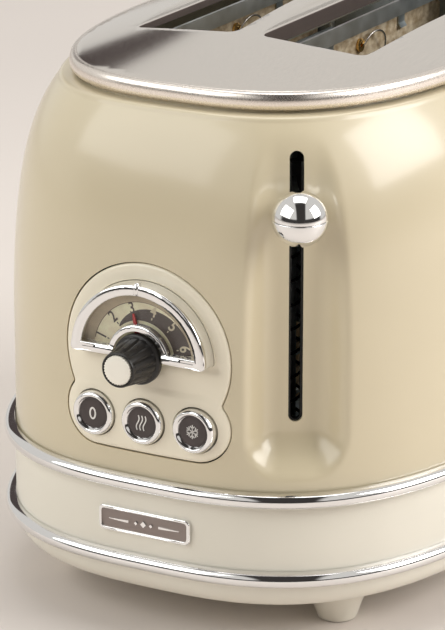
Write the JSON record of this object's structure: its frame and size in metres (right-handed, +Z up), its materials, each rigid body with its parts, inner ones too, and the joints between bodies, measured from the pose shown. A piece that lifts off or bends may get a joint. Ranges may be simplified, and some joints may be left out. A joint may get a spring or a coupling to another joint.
{
  "type": "pop up toaster",
  "caption": "Oval pop-up toaster with enamelled shell, brushed lid, side lever in a recessed track, half-moon browning dial, round buttons and a crumb tray.",
  "frame": {"origin": "middle of the footprint, knob included, on the surface that the toaster stands on", "axes": "+Z up, -Y towards the end with the dial and lever, +X to the right seen from that end"},
  "size_m": [0.1956, 0.3178, 0.204],
  "materials": {
    "champagne_enamel": "warm champagne gloss enamel",
    "brushed_lid": "brushed along the slots, with small scratches",
    "chrome_trim": "bright polished",
    "cream_base": "cream gloss",
    "cream_fascia": "cream satin gloss",
    "pad_rubber": "matt",
    "badge_metal": "polished rim, satin field",
    "clear_lens": "clear",
    "printed_scale": "printed satin",
    "pointer_red": "satin",
    "black_knob": "satin, ribbed",
    "black_plastic": "satin",
    "white_plastic": "satin",
    "button_face": "dark, printed symbol",
    "board_green": "solder mask",
    "zinc_steel": "galvanised",
    "rack_wire": "drawn wire",
    "coil_copper": "enamelled winding",
    "mica_sheet": "pressed mica board",
    "heater_ribbon": "oxidised nickel-chromium ribbon",
    "brass_eyelet": "plated",
    "seal_fabric": "matt black"
  },
  "bodies": {
    "housing": {"outer_shell": "champagne_enamel", "top_lid": "brushed_lid", "upper_trim_ring": "chrome_trim", "lower_trim_ring": "chrome_trim", "base_housing": "cream_base", "feet": "cream_base", "foot_pads": "pad_rubber", "badge_plate": "badge_metal", "control_fascia": "cream_fascia", "dial_bezel": "chrome_trim", "dial_lens": "clear_lens", "dial_plate": "printed_scale", "browning_pot": "black_plastic", "button_guide": "black_plastic", "control_board": "board_green", "tact_switches": "black_plastic", "relay": "black_plastic", "slot_seal": "seal_fabric", "guide_rod": "zinc_steel", "return_spring": "rack_wire", "magnet_core": "zinc_steel", "magnet_coil": "coil_copper", "front_bulkhead": "zinc_steel", "rear_bulkhead": "zinc_steel", "left_heat_shield": "zinc_steel", "right_heat_shield": "zinc_steel", "left_element_board": "mica_sheet", "centre_element_board": "mica_sheet", "right_element_board": "mica_sheet", "heating_elements": "heater_ribbon", "terminal_eyelets": "brass_eyelet", "tray_rails": "zinc_steel", "terminal_block": "white_plastic", "cord_gland": "black_plastic", "base_screws": "zinc_steel"},
    "carriage": {"carriage_bracket": "zinc_steel", "carriage_bush": "black_plastic", "keeper_plate": "zinc_steel", "bread_rack_left": "rack_wire", "bread_rack_right": "rack_wire", "lever_arm": "zinc_steel", "lever_knob_upper": "chrome_trim", "lever_knob_lower": "chrome_trim"},
    "dial": {"browning_knob": "black_knob", "knob_cap": "cream_fascia", "knob_shaft": "zinc_steel", "dial_pointer": "pointer_red"},
    "cancel": {"cancel_button": "chrome_trim", "cancel_cap": "button_face"},
    "reheat": {"reheat_button": "chrome_trim", "reheat_cap": "button_face"},
    "defrost": {"defrost_button": "chrome_trim", "defrost_cap": "button_face"},
    "tray": {"crumb_tray": "zinc_steel", "tray_handle": "cream_base"},
    "grille_left_outer": {"guide_left_outer": "rack_wire"},
    "grille_left_inner": {"guide_left_inner": "rack_wire"},
    "grille_right_inner": {"guide_right_inner": "rack_wire"},
    "grille_right_outer": {"guide_right_outer": "rack_wire"}
  },
  "joints": [
    {"name": "carriage_slide", "type": "slide", "parent": "housing", "child": "carriage", "axis": [0, 0, 1], "range_m": [-0.066, 0.014], "stiffness_N_per_m": 60, "springref_m": 0.03, "deforming": ["return_spring"]},
    {"name": "browning_turn", "type": "hinge", "parent": "housing", "child": "dial", "pos_m": [0, -0.1409, 0.1027], "axis": [0, -1, 0], "range_deg": [-84, 60]},
    {"name": "cancel_press", "type": "slide", "parent": "housing", "child": "cancel", "axis": [0, 1, 0], "range_m": [0, 0.002], "stiffness_N_per_m": 300, "springref_m": -0.002},
    {"name": "reheat_press", "type": "slide", "parent": "housing", "child": "reheat", "axis": [0, 1, 0], "range_m": [0, 0.002], "stiffness_N_per_m": 300, "springref_m": -0.002},
    {"name": "defrost_press", "type": "slide", "parent": "housing", "child": "defrost", "axis": [0, 1, 0], "range_m": [0, 0.002], "stiffness_N_per_m": 300, "springref_m": -0.002},
    {"name": "tray_slide", "type": "slide", "parent": "housing", "child": "tray", "axis": [0, 1, 0], "range_m": [0, 0.2]},
    {"name": "grille_left_outer_slide", "type": "slide", "parent": "housing", "child": "grille_left_outer", "axis": [1, 0, 0], "range_m": [-0.0013, 0.006]},
    {"name": "grille_left_inner_slide", "type": "slide", "parent": "housing", "child": "grille_left_inner", "axis": [-1, 0, 0], "range_m": [-0.0013, 0.006]},
    {"name": "grille_right_inner_slide", "type": "slide", "parent": "housing", "child": "grille_right_inner", "axis": [1, 0, 0], "range_m": [-0.0013, 0.006]},
    {"name": "grille_right_outer_slide", "type": "slide", "parent": "housing", "child": "grille_right_outer", "axis": [-1, 0, 0], "range_m": [-0.0013, 0.006]}
  ],
  "couplings": [
    {"joint": "grille_left_outer_slide", "follows": "carriage_slide", "ratio": -0.090909},
    {"joint": "grille_left_inner_slide", "follows": "carriage_slide", "ratio": -0.090909},
    {"joint": "grille_right_inner_slide", "follows": "carriage_slide", "ratio": -0.090909},
    {"joint": "grille_right_outer_slide", "follows": "carriage_slide", "ratio": -0.090909}
  ]
}
